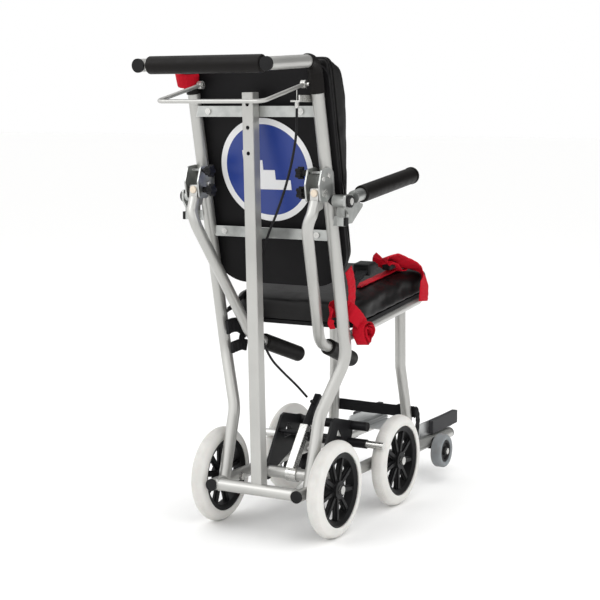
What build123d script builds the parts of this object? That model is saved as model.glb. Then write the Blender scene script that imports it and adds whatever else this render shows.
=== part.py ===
"""Stair chair: a tubular carrying chair on four big wheels, built from separate pieces.

The drawing's datum is the rear axle (Y = 0) above the floor (Z = 0), with X = 0 the middle plane,
+X the sitter's right and +Y the front.  Each piece is shifted once, as it is saved, so that the
finished chair stands with its origin in the middle of its footprint.
"""
from build123d import *
from math import atan2, cos, degrees, radians, sin, tan
import os

os.makedirs("parts", exist_ok=True)

# ---- driving dimensions (mm) --------------------------------------------------------------
TUBE_R = 12.5            # main frame tube, 25 mm outside
TUBE_WALL = 2.0
RAIL_X = 100.0           # base rails
AXLE_Z = 100.0
WHEELBASE = 291.5
WHEEL_R = 100.0
TYRE_R = 17.0            # tyre section
RIM_R = 77.0
REAR_WHEEL_X = 136.6     # middle plane of the rear tyres
FRONT_WHEEL_X = 133.5
REAR_END = -276.75       # rearmost edge of the push handle caps
FRONT_END = 690.0        # front face of the foot guards
HANDLE_X = 141.0
HINGE_Y, HINGE_Z = -80.0, 703.5      # carrying handle pivot
ARM_Y, ARM_Z = -45.0, 687.5          # armrest pivot
BAIL_Y, BAIL_Z = -94.0, 912.0        # brake bail pivot
BRAKE_Y, BRAKE_Z = 70.0, 100.0       # brake rocker pivot, on the middle cross tube
SEAT_Y0, SEAT_Z0 = 60.0, 419.5       # rear lower edge of the seat board
SEAT_TILT = 6.4
PAD_HALF_WIDTH = 160.0
SEAT_HALF_WIDTH = 155.0
RUNNING = 0.05           # radial clearance of a running fit
GAP = 0.4                # clear gap between pieces on different bodies
WELD = 0.05              # gap left where a coped tube end meets its neighbour
SIDES = {"left": -1, "right": 1}

SHIFT = Location((0, -(REAR_END + FRONT_END) / 2, 0))


def save(builder, name):
    """Move a finished piece to the chair's own origin, label it and write its STEP file."""
    piece = builder.part.moved(SHIFT)
    piece.label = name
    export_step(piece, f"parts/{name}.step")


def toward(start, end, distance):
    """Point at a distance from start on the way to end."""
    a = Vector(*start)
    b = Vector(*end)
    return a + (b - a).normalized() * distance


def start_plane(path):
    """Plane across the start of a path."""
    return Plane(origin=path @ 0, z_dir=path % 0)


def rod(a, b, r):
    """Add a round bar between two points to the part being built."""
    with BuildSketch(Plane(origin=a, z_dir=Vector(*b) - Vector(*a))) as section:
        Circle(r)
    extrude(section.sketch, amount=(Vector(*b) - Vector(*a)).length)


def cut_rod(a, b, r):
    """Take a round bar between two points away from the part being built."""
    with BuildSketch(Plane(origin=a, z_dir=Vector(*b) - Vector(*a))) as section:
        Circle(r)
    extrude(section.sketch, amount=(Vector(*b) - Vector(*a)).length, mode=Mode.SUBTRACT)


def plate_yz(x, thickness, points, corner=0):
    """Add a flat plate in a YZ plane, from x towards +X, with rounded corners."""
    with BuildSketch(Plane(origin=(x, 0, 0), x_dir=(0, 1, 0), z_dir=(1, 0, 0))) as outline:
        Polygon(*points, align=None)
        if corner:
            fillet(outline.vertices(), corner)
    extrude(outline.sketch, amount=thickness)


def block(x0, x1, y0, y1, z0, z1):
    """Add a rectangular block given by its corners."""
    with BuildSketch(Plane(origin=((x0 + x1) / 2, (y0 + y1) / 2, z0))) as outline:
        Rectangle(x1 - x0, y1 - y0)
    extrude(outline.sketch, amount=z1 - z0)


# ---- routes of the bent tubes ---------------------------------------------------------------
RAIL_PATH = [(-92, 100), (325, 100), (430, 89), (652, 89)]                  # (y, z)
HANDLE_TOP = (HANDLE_X, -97, 956)
BACK_KNEE = (144.5, 34, 368)


def back_path(side):
    """Push handle, back tube and rear leg, all one tube."""
    points = [(HANDLE_X, -272, 946), HANDLE_TOP, BACK_KNEE, (101, 0, 246), (RAIL_X, -45, AXLE_Z)]
    return [(side * x, y, z) for x, y, z in points]


def back_y(z):
    """Y of the back tube's axis at a height on its long straight."""
    return HANDLE_TOP[1] + (HANDLE_TOP[2] - z) / (HANDLE_TOP[2] - BACK_KNEE[2]) * (BACK_KNEE[1] - HANDLE_TOP[1])


RECLINE = degrees(atan2(BACK_KNEE[1] - HANDLE_TOP[1], HANDLE_TOP[2] - BACK_KNEE[2]))
BACK_Z = 660.0


def back_point(forward, up):
    """(y, z) of a point given from the back tubes' axis: distance forward and distance up."""
    a = radians(RECLINE)
    y = back_y(BACK_Z) + forward * cos(a) - up * sin(a)
    z = BACK_Z + forward * sin(a) + up * cos(a)
    return y, z


def back_plane(forward):
    """Plane parallel to the back tubes; its normal points to the rear."""
    y, z = back_point(forward, 0)
    a = radians(RECLINE)
    return Plane(origin=(0, y, z), x_dir=(1, 0, 0), z_dir=(0, -cos(a), -sin(a)))


def seat_z(y):
    """Height of the seat board's underside."""
    return SEAT_Z0 + (y - SEAT_Y0) * tan(radians(SEAT_TILT))


def seat_plane(above, y=236.0):
    """Plane of the seat at a height above the board's underside."""
    a = radians(SEAT_TILT)
    return Plane(origin=(0, y - above * sin(a), seat_z(y) + above * cos(a)),
                 x_dir=(1, 0, 0), z_dir=(0, -sin(a), cos(a)))


# ---- base: rails, cross tubes, caps ----------------------------------------------------------
with BuildPart() as base_rails:
    for side in SIDES.values():
        with BuildLine() as path:
            FilletPolyline(*[(side * RAIL_X, y, z) for y, z in RAIL_PATH], radius=120)
        with BuildSketch(start_plane(path.line)):
            Circle(TUBE_R)
            Circle(TUBE_R - TUBE_WALL, mode=Mode.SUBTRACT)
        sweep()
        for y in (0, WHEELBASE):
            cut_rod((side * 80, y, AXLE_Z), (side * 120, y, AXLE_Z), 5)
save(base_rails, "base_rails")

CROSS_TUBES_Y = (-80, BRAKE_Y)
with BuildPart() as base_cross_tubes:
    for y in CROSS_TUBES_Y:
        rod((-RAIL_X, y, AXLE_Z), (RAIL_X, y, AXLE_Z), TUBE_R)
    for side in SIDES.values():
        cut_rod((side * RAIL_X, -120, AXLE_Z), (side * RAIL_X, 120, AXLE_Z), TUBE_R + WELD)
    for y in CROSS_TUBES_Y:
        cut_rod((-RAIL_X, y, AXLE_Z), (RAIL_X, y, AXLE_Z), TUBE_R - TUBE_WALL)
save(base_cross_tubes, "base_cross_tubes")

CAP = 4.0
with BuildPart() as tube_end_caps:
    for side in SIDES.values():
        rail = side * RAIL_X
        rod((rail, -92 - CAP, 100), (rail, -92, 100), TUBE_R)
        rod((rail, -92, 100), (rail, -80, 100), TUBE_R - TUBE_WALL)
        rod((rail, 652, 89), (rail, 652 + CAP, 89), TUBE_R)
        rod((rail, 640, 89), (rail, 652, 89), TUBE_R - TUBE_WALL)
        handle_end = back_path(side)[0]
        inward = toward(handle_end, back_path(side)[1], 12)
        outward = toward(handle_end, back_path(side)[1], -CAP)
        rod(outward, handle_end, TUBE_R + 0.8)
        rod(handle_end, inward, TUBE_R - TUBE_WALL)
save(tube_end_caps, "tube_end_caps")

# ---- back tubes with the push handles ---------------------------------------------------------
BACK_RADII = [30, 90, 90]
with BuildPart() as back_tubes:
    for side in SIDES.values():
        with BuildLine() as path:
            FilletPolyline(*back_path(side), radius=BACK_RADII)
        with BuildSketch(start_plane(path.line)):
            Circle(TUBE_R)
            Circle(TUBE_R - TUBE_WALL, mode=Mode.SUBTRACT)
        sweep()
        cut_rod((side * RAIL_X, -140, AXLE_Z), (side * RAIL_X, 80, AXLE_Z), TUBE_R)
save(back_tubes, "back_tubes")

with BuildPart() as elbow_covers:
    for side in SIDES.values():
        route = back_path(side)
        with BuildLine() as path:
            FilletPolyline(toward(route[1], route[0], 28), route[1], toward(route[1], route[2], 62),
                           radius=BACK_RADII[0])
        with BuildSketch(start_plane(path.line)):
            Circle(TUBE_R + 2)
            Circle(TUBE_R + WELD, mode=Mode.SUBTRACT)
        sweep()
        cut_rod((side * 110, BAIL_Y, BAIL_Z), (side * 140, BAIL_Y, BAIL_Z), 3.5)
save(elbow_covers, "elbow_covers")

PUSH_Y = -259.0
PUSH_Z = 956 + (PUSH_Y + 97) * 10 / 175
with BuildPart() as push_bar_tube:
    rod((-HANDLE_X, PUSH_Y, PUSH_Z), (HANDLE_X, PUSH_Y, PUSH_Z), 10)
    cut_rod((-HANDLE_X, PUSH_Y, PUSH_Z), (HANDLE_X, PUSH_Y, PUSH_Z), 8.5)
    for side in SIDES.values():
        route = back_path(side)
        cut_rod(toward(route[0], route[1], -20), toward(route[0], route[1], 60), TUBE_R)
save(push_bar_tube, "push_bar_tube")

with BuildPart() as push_bar_grip:
    rod((-125, PUSH_Y, PUSH_Z), (125, PUSH_Y, PUSH_Z), 17)
    cut_rod((-125, PUSH_Y, PUSH_Z), (125, PUSH_Y, PUSH_Z), 10)
    fillet(push_bar_grip.edges().filter_by(GeomType.CIRCLE).group_by(SortBy.RADIUS)[-1], 3)
save(push_bar_grip, "push_bar_grip")

# ---- centre post and the cross bars ------------------------------------------------------------
POST = 25.0
POST_FOOT = (0, -70, 104)
POST_HEAD = (0, -99, 897)
POST_HOLES_Z = (874, 829, 779)
POST_LEAN = degrees(atan2(POST_FOOT[1] - POST_HEAD[1], POST_HEAD[2] - POST_FOOT[2]))


def post_y(z):
    """Y of the post's axis at a height."""
    return POST_FOOT[1] - (z - POST_FOOT[2]) * tan(radians(POST_LEAN))


with BuildPart() as centre_post:
    length = (Vector(*POST_HEAD) - Vector(*POST_FOOT)).length
    with BuildSketch(Plane(origin=POST_FOOT, x_dir=(1, 0, 0), z_dir=Vector(*POST_HEAD) - Vector(*POST_FOOT))):
        RectangleRounded(POST, POST, 2.5)
        RectangleRounded(POST - 4, POST - 4, 1, mode=Mode.SUBTRACT)
    extrude(amount=length)
    with BuildSketch(Plane(origin=toward(POST_HEAD, POST_FOOT, 2), x_dir=(1, 0, 0),
                           z_dir=Vector(*POST_HEAD) - Vector(*POST_FOOT))):
        RectangleRounded(POST, POST, 2.5)
    extrude(amount=2)
    cut_rod((-60, CROSS_TUBES_Y[0], AXLE_Z), (60, CROSS_TUBES_Y[0], AXLE_Z), TUBE_R)
    across = Vector(0, cos(radians(POST_LEAN)), sin(radians(POST_LEAN)))
    for z in POST_HOLES_Z:
        hole = Vector(0, post_y(z), z)
        cut_rod(hole - across * 20, hole + across * 20, 4)
save(centre_post, "centre_post")

BAR_T = 4.0
UPPER_BAR_Z = 860.0
LOWER_BAR_Z = 617.0
BAR_HEIGHT = 21.0
SCREW_X = {UPPER_BAR_Z: 106.0, LOWER_BAR_Z: 107.5}
BAR_BACK_Y = {UPPER_BAR_Z: post_y(UPPER_BAR_Z) + POST / 2 + 0.4, LOWER_BAR_Z: back_y(LOWER_BAR_Z) - 2}
with BuildPart() as back_cross_bars:
    for z, y in BAR_BACK_Y.items():
        block(-142, 142, y, y + BAR_T, z - BAR_HEIGHT / 2, z + BAR_HEIGHT / 2)
        for side in SIDES.values():
            route = back_path(side)
            cut_rod(route[1], route[2], TUBE_R)
            cut_rod((side * SCREW_X[z], y - 5, z), (side * SCREW_X[z], y + 10, z), 3)
    spacer_y = post_y(LOWER_BAR_Z) + POST / 2 + 0.6
    block(-13, -1, spacer_y, BAR_BACK_Y[LOWER_BAR_Z], LOWER_BAR_Z - 10, LOWER_BAR_Z + 10)
save(back_cross_bars, "back_cross_bars")

# ---- seat frame, front legs --------------------------------------------------------------------
SEAT_TUBE_R = 9.5
SEAT_TUBE_X = 143.0
SEAT_FRONT_Y = 407.0
slope = tan(radians(SEAT_TILT))


def seat_tube_z(y):
    """Height of the seat frame tube's axis."""
    return seat_z(y) - (SEAT_TUBE_R + 0.3) / cos(radians(SEAT_TILT))


REAR_Y = 26.0
with BuildPart() as seat_frame:
    with BuildLine() as path:
        FilletPolyline((-SEAT_TUBE_X, REAR_Y, seat_tube_z(REAR_Y)),
                       (-SEAT_TUBE_X, SEAT_FRONT_Y, seat_tube_z(SEAT_FRONT_Y)),
                       (SEAT_TUBE_X, SEAT_FRONT_Y, seat_tube_z(SEAT_FRONT_Y)),
                       (SEAT_TUBE_X, REAR_Y, seat_tube_z(REAR_Y)), radius=38)
    with BuildSketch(start_plane(path.line)):
        Circle(SEAT_TUBE_R)
        Circle(SEAT_TUBE_R - 1.5, mode=Mode.SUBTRACT)
    sweep()
    for side in SIDES.values():
        route = back_path(side)
        cut_rod(route[1], route[2], TUBE_R)
        cut_rod(toward(route[2], route[1], 30), toward(route[2], route[1], -30), TUBE_R)
save(seat_frame, "seat_frame")

LEG_R = 12.0
LEG_PATH = [(84, 409, 436), (84, 413, 286), (91, 424, 204), (RAIL_X, 434, 89)]
with BuildPart() as front_legs:
    for side in SIDES.values():
        with BuildLine() as path:
            FilletPolyline(*[(side * x, y, z) for x, y, z in LEG_PATH], radius=60)
        with BuildSketch(start_plane(path.line)):
            Circle(LEG_R)
            Circle(LEG_R - TUBE_WALL, mode=Mode.SUBTRACT)
        sweep()
    front_z = seat_tube_z(SEAT_FRONT_Y)
    cut_rod((-110, SEAT_FRONT_Y, front_z), (110, SEAT_FRONT_Y, front_z), SEAT_TUBE_R)
    for side in SIDES.values():
        cut_rod((side * RAIL_X, 400, 92.2), (side * RAIL_X, 480, 88.6), TUBE_R)
save(front_legs, "front_legs")

SEAT_LENGTH = 355.0
BOARD_T = 8.0
CUSHION_T = 46.0
OVERHANG = 22.0          # the cushion's front edge stands out past its board
with BuildPart() as seat_board:
    with BuildSketch(seat_plane(0)) as outline:
        Rectangle(2 * SEAT_HALF_WIDTH - 8, SEAT_LENGTH - 8)
        fillet(outline.vertices().group_by(Axis.Y)[0], 46)
        fillet(outline.vertices().group_by(Axis.Y)[-1], 32)
    extrude(amount=BOARD_T)
save(seat_board, "seat_board")

with BuildPart() as seat_cushion:
    with BuildSketch(seat_plane(BOARD_T + 0.3)) as outline:
        with Locations((0, OVERHANG / 2)):
            Rectangle(2 * SEAT_HALF_WIDTH, SEAT_LENGTH + OVERHANG)
        fillet(outline.vertices().group_by(Axis.Y)[0], 50)
        fillet(outline.vertices().group_by(Axis.Y)[-1], 36)
    extrude(amount=CUSHION_T)
    fillet(seat_cushion.faces().sort_by(Axis.Z)[-1].edges(), 16)
save(seat_cushion, "seat_cushion")

# ---- backrest ------------------------------------------------------------------------------------
PAD_LOW, PAD_HIGH = -158.0, 292.0
BOARD_FRONT = 14.8       # board's rear face, forward of the tubes' axis


def pad_outline(top):
    """Outline of the backrest in its own plane, up to a height."""
    with BuildSketch(Plane.XY) as outline:
        with Locations((0, (PAD_LOW + top) / 2)):
            Rectangle(2 * PAD_HALF_WIDTH, top - PAD_LOW)
        fillet(outline.vertices().group_by(Axis.Y)[0], 80)
        fillet(outline.vertices().group_by(Axis.Y)[-1], 26)
    return outline.sketch


with BuildPart() as back_board:
    with BuildSketch(back_plane(BOARD_FRONT)):
        add(pad_outline(PAD_HIGH))
    extrude(amount=-8)
save(back_board, "back_board")

SIDE_PROFILE = [(23.1, PAD_LOW), (23.1, PAD_HIGH + 12), (78, 274), (86, 220), (66, 70), (48, -75),
                (45, PAD_LOW + 6), (38, PAD_LOW)]
with BuildPart() as back_cushion:
    with BuildSketch(Plane.YZ) as profile:
        Polygon(*[back_point(forward, up) for forward, up in SIDE_PROFILE], align=None)
        fillet(profile.vertices().sort_by(Axis.Y)[-3:], 8)
    extrude(amount=PAD_HALF_WIDTH, both=True)
    with BuildSketch(back_plane(10)):
        add(pad_outline(PAD_HIGH + 12))
    extrude(amount=-100, mode=Mode.INTERSECT)
save(back_cushion, "back_cushion")

BADGE_R = 106.0
BADGE_UP = 83.0
with BuildPart() as back_badge:
    with BuildSketch(back_plane(BOARD_FRONT)):
        with Locations((0, BADGE_UP)):
            Circle(BADGE_R)
    extrude(amount=1)
save(back_badge, "back_badge")

with BuildPart() as pad_fasteners:
    for z, y in BAR_BACK_Y.items():
        board_y = back_y(z) + (BOARD_FRONT + 1) / cos(radians(RECLINE))
        for side in SIDES.values():
            x = side * SCREW_X[z]
            rod((x, y - 3, z), (x, y, z), 6)
            rod((x, y, z), (x, board_y - 1, z), 3)
    with BuildSketch(back_plane(BOARD_FRONT)):
        Rectangle(400, 800)
    extrude(amount=-20, mode=Mode.SUBTRACT)
save(pad_fasteners, "pad_fasteners")

# ---- big wheels -----------------------------------------------------------------------------------
HUB_R = 19.0
HUB_IN, HUB_OUT = -17.0, 13.0
SPOKES = 9
AXLE_R = 5.0
WHEELS = {
    "rear_left": (-1, REAR_WHEEL_X, 0.0),
    "rear_right": (1, REAR_WHEEL_X, 0.0),
    "front_left": (-1, FRONT_WHEEL_X, WHEELBASE),
    "front_right": (1, FRONT_WHEEL_X, WHEELBASE),
}
for name, (side, wheel_x, wheel_y) in WHEELS.items():
    centre = (side * wheel_x, wheel_y, AXLE_Z)
    section = Plane(origin=centre, x_dir=(side, 0, 0), z_dir=(0, -side, 0))
    face = Plane(origin=centre, x_dir=(0, 1, 0), z_dir=(side, 0, 0))
    axle = Axis(centre, (side, 0, 0))
    with BuildPart() as tyre:
        with BuildSketch(section):
            with Locations((0, WHEEL_R - TYRE_R)):
                Circle(TYRE_R)
            with Locations((0, RIM_R / 2)):
                Rectangle(4 * TYRE_R, RIM_R, mode=Mode.SUBTRACT)
        revolve(axis=axle)
    save(tyre, f"{name}_tyre")

    with BuildPart() as rim:
        with BuildSketch(section):
            with BuildLine():
                Polyline((-14, RIM_R), (14, RIM_R), (14, RIM_R - 4), (10, RIM_R - 12), (-10, RIM_R - 12),
                         (-14, RIM_R - 4), close=True)
            make_face()
            with Locations(((HUB_IN + HUB_OUT) / 2, (HUB_R + AXLE_R + RUNNING) / 2)):
                Rectangle(HUB_OUT - HUB_IN, HUB_R - AXLE_R - RUNNING)
        revolve(axis=axle)
        with BuildSketch(face.offset(-4)):
            with PolarLocations((HUB_R + RIM_R - 12) / 2, SPOKES, start_angle=30):
                Rectangle(RIM_R - 10 - HUB_R, 7)
        extrude(amount=12)
        with BuildSketch(face.offset(1)):
            with PolarLocations((HUB_R + RIM_R - 12) / 2, SPOKES, start_angle=30):
                Rectangle(RIM_R - 10 - HUB_R, 13)
        extrude(amount=3)
        fillet(rim.edges().filter_by(GeomType.CIRCLE).group_by(Axis.X)[-1 if side > 0 else 0].group_by(
            SortBy.RADIUS)[-1], 1.5)
        cut_rod((side * (wheel_x - 40), wheel_y, AXLE_Z), (side * (wheel_x + 40), wheel_y, AXLE_Z),
                AXLE_R + RUNNING)
    save(rim, f"{name}_rim")

# ---- small front wheels ----------------------------------------------------------------------------
SMALL_R = 38.5
SMALL_HUB_R = 25.0
SMALL_Y, SMALL_Z = 541.0, 70.5
SMALL_IN, SMALL_OUT = 118.5, 144.5
for name, side in SIDES.items():
    middle = side * (SMALL_IN + SMALL_OUT) / 2
    half = (SMALL_OUT - SMALL_IN) / 2
    centre = (middle, SMALL_Y, SMALL_Z)
    section = Plane(origin=centre, x_dir=(side, 0, 0), z_dir=(0, -side, 0))
    with BuildPart() as small_tyre:
        with BuildSketch(section) as ring:
            with Locations((0, (SMALL_R + SMALL_HUB_R) / 2)):
                Rectangle(2 * half, SMALL_R - SMALL_HUB_R)
            fillet(ring.vertices().group_by(Axis.Z)[-1], 6)
        revolve(axis=Axis(centre, (side, 0, 0)))
    save(small_tyre, f"small_tyre_{name}")
    with BuildPart() as small_hub:
        with BuildSketch(section):
            with BuildLine():
                Polyline((-half, 4 + RUNNING), (half - 1, 4 + RUNNING), (half - 1, 9), (half - 7, 11),
                         (half - 7, 18), (half - 2, 21), (half - 2, SMALL_HUB_R), (-half + 2, SMALL_HUB_R),
                         (-half + 2, 12), (-half, 10), close=True)
            make_face()
        revolve(axis=Axis(centre, (side, 0, 0)))
    save(small_hub, f"small_hub_{name}")

with BuildPart() as small_wheel_brackets:
    for side in SIDES.values():
        x0, x1 = sorted((side * 113.2, side * 117.2))
        plate_yz(x0, x1 - x0, [(SMALL_Y - 16, 101), (SMALL_Y + 16, 101), (SMALL_Y + 13, 58), (SMALL_Y - 13, 58)], 6)
        block(*sorted((side * 96, side * 114)), SMALL_Y - 16, SMALL_Y + 16, 75.5, 88)
        cut_rod((side * RAIL_X, 500, 89), (side * RAIL_X, 600, 89), TUBE_R)
        cut_rod((side * 90, SMALL_Y, SMALL_Z), (side * 130, SMALL_Y, SMALL_Z), 4)
save(small_wheel_brackets, "small_wheel_brackets")

# ---- foot guards and footplates --------------------------------------------------------------------
FLAP_X, FLAP_Z = 81.0, 104.5
with BuildPart() as guard_brackets:
    for side in SIDES.values():
        x0, x1 = sorted((side * 90.5, side * 94))
        plate_yz(x0, x1 - x0, [(497, 97), (686, 97), (686, 136), (505, 136), (497, 128)])
        cut_rod((side * RAIL_X, 480, 89), (side * RAIL_X, 700, 89), TUBE_R)
        for y in (566, 676):
            block(*sorted((side * FLAP_X, side * 91)), y, y + 6, FLAP_Z - 5, FLAP_Z + 5)
        rod((side * FLAP_X, 560, FLAP_Z), (side * FLAP_X, 684, FLAP_Z), 3)
save(guard_brackets, "guard_brackets")

with BuildPart() as foot_guards:
    for side in SIDES.values():
        x0, x1 = sorted((side * 94.2, side * 106))
        plate_yz(x0, x1 - x0, [(548, 105), (FRONT_END, 108), (FRONT_END, 139), (548, 137)], 3)
        cut_rod((side * RAIL_X, 480, 89), (side * RAIL_X, 700, 89), TUBE_R)
save(foot_guards, "foot_guards")

for name, side in SIDES.items():
    with BuildPart() as footplate:
        block(*sorted((side * 28, side * FLAP_X)), 573, 675, FLAP_Z - 5.5, FLAP_Z - 2.5)
        rod((side * FLAP_X, 573, FLAP_Z), (side * FLAP_X, 675, FLAP_Z), 6)
        block(*sorted((side * 28, side * 66)), 556, 573, FLAP_Z - 5.5, FLAP_Z - 2.5)
        block(*sorted((side * 28, side * 66)), 675, 688, FLAP_Z - 5.5, FLAP_Z - 2.5)
        cut_rod((side * FLAP_X, 540, FLAP_Z), (side * FLAP_X, 700, FLAP_Z), 3 + RUNNING)
    save(footplate, f"footplate_{name}")

# ---- carrying handles ------------------------------------------------------------------------------
CARRY_R = 11.5
# The top run stays between the bracket's cheeks all the way up to the swung-out position.
CARRY_PATH = [(138.5, -88.5, 686), (137.5, -99, 662), (129, -104, 640), (81, 37, 392), (65, 205, 333)]
CARRY_RADII = [20, 48, 55]
GRIP_START = 44.0
KNUCKLE = [(-94, 668), (-73, 674), (-69, 692), (-69, 714), (-91, 714), (-93, 690)]
for name, side in SIDES.items():
    route = [(side * x, y, z) for x, y, z in CARRY_PATH]
    with BuildPart() as carry_tube:
        with BuildLine() as path:
            FilletPolyline(*route, radius=CARRY_RADII)
        with BuildSketch(start_plane(path.line)):
            Circle(CARRY_R)
        sweep()
        with BuildSketch(start_plane(path.line)):
            Circle(CARRY_R - TUBE_WALL)
        sweep(path=path.line, mode=Mode.SUBTRACT)
        x0, x1 = sorted((side * 130, side * 148))
        plate_yz(x0, x1 - x0, KNUCKLE, 4)
        cut_rod((side * 110, HINGE_Y, HINGE_Z), (side * 170, HINGE_Y, HINGE_Z), 4 + RUNNING)
    save(carry_tube, f"carry_tube_{name}")
    with BuildPart() as carry_grip:
        rod(toward(route[3], route[4], GRIP_START), toward(route[4], route[3], -4), 17)
        fillet(carry_grip.edges().filter_by(GeomType.CIRCLE), 4)
        cut_rod(toward(route[3], route[4], GRIP_START - 10), route[4], CARRY_R)
    save(carry_grip, f"carry_grip_{name}")

CHEEK = 3.0
CHEEK_IN, CHEEK_OUT = 121.5, 152.0   # inner faces toward the middle of the chair
CHEEK_OUTLINE = [(-95, 687), (-70, 686), (-38, 707), (-44, 745), (-60, 753), (-90, 750), (-101, 720)]
LOCK = (-84.0, 742.0)     # locking knobs (y, z)
with BuildPart() as carry_brackets:
    for side in SIDES.values():
        for x in (CHEEK_IN, CHEEK_OUT):
            x0, x1 = sorted((side * x, side * (x + CHEEK)))
            plate_yz(x0, x1 - x0, CHEEK_OUTLINE, 6)
        x0, x1 = sorted((side * (CHEEK_IN + 1), side * (CHEEK_OUT + 1)))
        block(x0, x1, -56, -46, 704, 738)
        block(x0, x1, -74, -44, 741, 745)
        route = back_path(side)
        cut_rod(route[1], route[2], TUBE_R)
        cut_rod((side * 110, HINGE_Y, HINGE_Z), (side * 170, HINGE_Y, HINGE_Z), 4)
        cut_rod((side * 110, *LOCK), (side * 130, *LOCK), 3 + RUNNING)
save(carry_brackets, "carry_brackets")

KNOB_X = 98.0            # inner face of a knob
KNOB_T = 11.0


def star_knob(side, y, z):
    """Add a five-lobed knob whose inner face looks toward the middle of the chair."""
    with BuildSketch(Plane(origin=(side * KNOB_X, y, z), x_dir=(0, 1, 0), z_dir=(side, 0, 0))) as star:
        Circle(8.6)
        with PolarLocations(9.1, 5):
            Circle(3.6)
    extrude(star.sketch, amount=KNOB_T)


for name, side in SIDES.items():
    with BuildPart() as lock_knob:
        star_knob(side, *LOCK)
        rod((side * (KNOB_X + KNOB_T), *LOCK), (side * 117, *LOCK), 6)
        rod((side * 117, *LOCK), (side * (CHEEK_IN + CHEEK), *LOCK), 3)
    save(lock_knob, f"lock_knob_{name}")

with BuildPart() as pivot_knobs:
    for side in SIDES.values():
        star_knob(side, HINGE_Y, HINGE_Z)
        rod((side * (KNOB_X + KNOB_T), HINGE_Y, HINGE_Z), (side * CHEEK_IN, HINGE_Y, HINGE_Z), 6)
save(pivot_knobs, "pivot_knobs")

# ---- armrests ----------------------------------------------------------------------------------------
ARM_X = 190.5
ARM_REAR_Y, ARM_FRONT_Y = -27.0, 238.0
ARM_REAR_Z, ARM_FRONT_Z = 695.3, 727.0
ARM_SLEEVE_IN, ARM_SLEEVE_OUT = 158.0, 184.6
PLATE_IN, PLATE_OUT = 185.0, 189.5
ARM_PLATE = [(-59, 680), (-59, 700), (-10, 703), (2, 701), (2, 681), (24, 681), (-31, 644), (-46, 644), (-46, 663)]
for name, side in SIDES.items():
    rear = (side * ARM_X, ARM_REAR_Y, ARM_REAR_Z)
    front = (side * ARM_X, ARM_FRONT_Y, ARM_FRONT_Z)
    with BuildPart() as armrest:
        rod(rear, toward(front, rear, 5), TUBE_R)
        cut_rod(toward(rear, front, 2), front, TUBE_R - TUBE_WALL)
        x0, x1 = sorted((side * PLATE_IN, side * PLATE_OUT))
        plate_yz(x0, x1 - x0, ARM_PLATE, 4)
        cut_rod((side * 180, ARM_Y, ARM_Z), (side * 210, ARM_Y, ARM_Z), 4 + RUNNING)
    save(armrest, f"armrest_{name}")
    with BuildPart() as armrest_grip:
        rod(toward(rear, front, 31), front, 17)
        fillet(armrest_grip.edges().filter_by(GeomType.CIRCLE), 4)
        rod(toward(front, rear, 8), front, 18)
        fillet(armrest_grip.edges().filter_by(GeomType.CIRCLE).sort_by(Axis.Y)[-1], 3)
        cut_rod(toward(rear, front, 20), toward(front, rear, 5), TUBE_R)
    save(armrest_grip, f"armrest_grip_{name}")

with BuildPart() as armrest_brackets:
    for side in SIDES.values():
        rod((side * ARM_SLEEVE_IN, ARM_Y, ARM_Z), (side * ARM_SLEEVE_OUT, ARM_Y, ARM_Z), TUBE_R)
        block(*sorted((side * 161, side * 178)), -41, -33, 642, 682)
        block(*sorted((side * 150, side * 177)), -37, -25, 638, 658)
        block(*sorted((side * 170, side * 183)), -55, -36, 640, 656)
        cut_rod(back_path(side)[1], back_path(side)[2], TUBE_R)
        cut_rod((side * 140, ARM_Y, ARM_Z), (side * 210, ARM_Y, ARM_Z), 4)
save(armrest_brackets, "armrest_brackets")

with BuildPart() as armrest_stops:
    for side in SIDES.values():
        block(*sorted((side * 183, side * 190)), -55, -47, 640, 656)
        with BuildSketch(Plane(origin=(side * 146, ARM_Y, ARM_Z), x_dir=(0, 1, 0), z_dir=(side, 0, 0))):
            Circle(4.5)
        with BuildSketch(Plane(origin=(side * ARM_SLEEVE_IN, ARM_Y, ARM_Z), x_dir=(0, 1, 0), z_dir=(side, 0, 0))):
            Circle(TUBE_R)
        loft()
        rod((side * (PLATE_OUT + GAP), ARM_Y, ARM_Z), (side * 195, ARM_Y, ARM_Z), 12)
        cut_rod((side * 140, ARM_Y, ARM_Z), (side * 200, ARM_Y, ARM_Z), 4)
        cut_rod((side * 192, ARM_Y, ARM_Z), (side * 200, ARM_Y, ARM_Z), 7)
        cut_rod(back_path(side)[1], back_path(side)[2], TUBE_R)
save(armrest_stops, "armrest_stops")

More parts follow.
